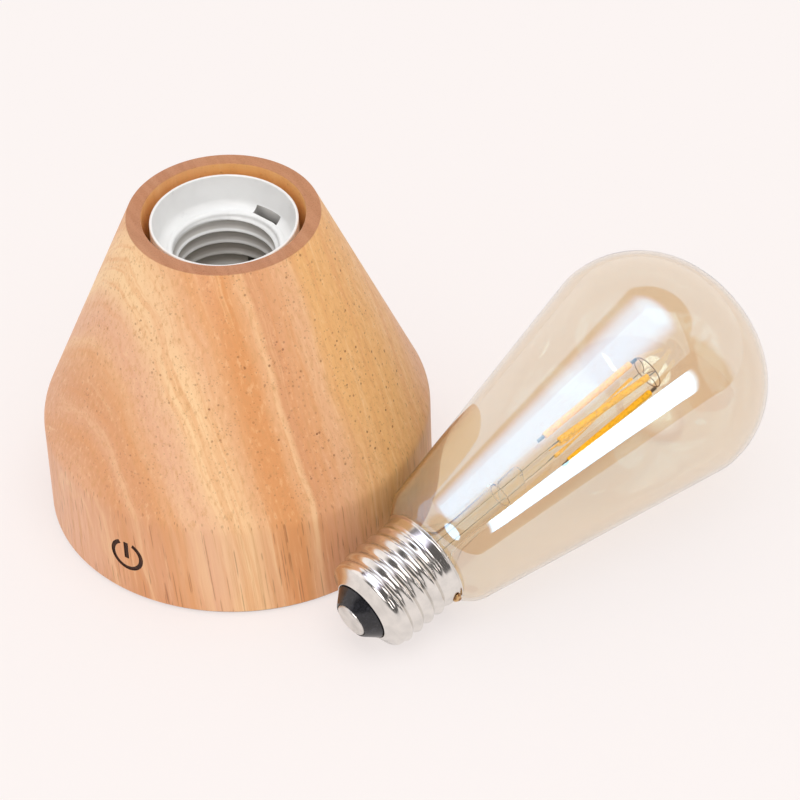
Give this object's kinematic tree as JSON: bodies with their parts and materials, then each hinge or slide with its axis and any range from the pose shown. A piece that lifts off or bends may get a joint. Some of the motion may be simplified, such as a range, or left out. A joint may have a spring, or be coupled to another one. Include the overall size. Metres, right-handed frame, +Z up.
{
  "type": "table lamp",
  "caption": "Turned wooden lamp base with a sunken screw lampholder, touch switch and charging socket, and an amber filament bulb lying beside it.",
  "frame": {"origin": "centre of the base's underside, on the table", "axes": "+Z up through the lampholder; -Y towards the touch symbol; +Y towards the charging socket; the bulb lies on the +X side"},
  "size_m": [0.1685, 0.1408, 0.09],
  "materials": {
    "wood": "satin, oiled, fine open pores",
    "foot_foam": "matt pad",
    "dark_plastic": "matt",
    "cover_plastic": "matt",
    "white_plastic": "smooth, slight sheen",
    "carrier_plastic": "matt",
    "contact_brass": "bright",
    "screw_steel": "zinc plated",
    "bracket_steel": "zinc plated",
    "lead_brown": "insulated wire",
    "lead_blue": "insulated wire",
    "lead_orange": "insulated wire",
    "lead_red": "insulated wire",
    "lead_black": "insulated wire",
    "touch_copper": "copper foil",
    "board_green": "solder mask",
    "chip_black": "matt",
    "ferrite": "matt",
    "capacitor_can": "satin",
    "connector_plastic": "matt",
    "cell_wrap": "plastic sleeve",
    "spring_steel": "nickel plated",
    "inlet_metal": "satin",
    "amber_glass": "clear amber, thin coloured film",
    "clear_glass": "clear",
    "cap_nickel": "bright plated sheet",
    "cap_black_glass": "glossy black",
    "cement": "matt",
    "solder": "solder with brown flux",
    "thin_wire": "dull",
    "filament": "yellow-orange coating"
  },
  "bodies": {
    "base": {"wood_body": "wood", "foot_pad": "foot_foam", "bottom_cover": "cover_plastic", "cover_screws": "screw_steel", "lampholder_shell": "white_plastic", "contact_carrier": "carrier_plastic", "centre_terminal": "contact_brass", "side_terminal": "contact_brass", "terminal_screws": "screw_steel", "mounting_bracket": "bracket_steel", "bracket_screws": "screw_steel", "lampholder_screws": "screw_steel", "live_lead": "lead_brown", "neutral_lead": "lead_blue", "touch_plate": "touch_copper", "touch_lead": "lead_orange", "control_board": "board_green", "board_screws": "screw_steel", "touch_chip": "chip_black", "boost_inductor": "ferrite", "board_capacitors": "capacitor_can", "lead_connectors": "connector_plastic", "battery_cell": "cell_wrap", "battery_holder": "dark_plastic", "battery_contacts": "spring_steel", "holder_screws": "screw_steel", "battery_plus_lead": "lead_red", "battery_minus_lead": "lead_black", "charging_bezel": "dark_plastic", "charging_socket": "inlet_metal", "charging_board": "board_green", "charging_leads": "lead_red"},
    "centre_tongue": {"centre_tongue": "contact_brass"},
    "side_tongue": {"side_tongue": "contact_brass"},
    "bulb": {"glass_envelope": "amber_glass", "glass_stem": "clear_glass", "screw_shell": "cap_nickel", "cap_insulator": "cap_black_glass", "cap_contact": "cap_nickel", "cap_cement": "cement", "rim_solder": "solder", "lead_in_wires": "thin_wire", "support_wires": "thin_wire", "light_filaments": "filament", "driver_board": "board_green", "driver_parts": "chip_black", "driver_leads": "lead_red"}
  },
  "joints": [
    {"name": "bulb_lift", "type": "slide", "parent": "base", "child": "bulb", "axis": [0, 0, 1], "range_m": [0, 0.12]},
    {"name": "centre_contact_flex", "type": "hinge", "parent": "base", "child": "centre_tongue", "pos_m": [0, -0.0087, 0.05775], "axis": [-1, 0, 0], "range_deg": [0, 12], "stiffness_Nm_per_rad": 0.3},
    {"name": "side_contact_flex", "type": "hinge", "parent": "base", "child": "side_tongue", "pos_m": [0, 0.0132, 0.05775], "axis": [-1, 0, 0], "range_deg": [0, 8], "stiffness_Nm_per_rad": 0.3}
  ]
}
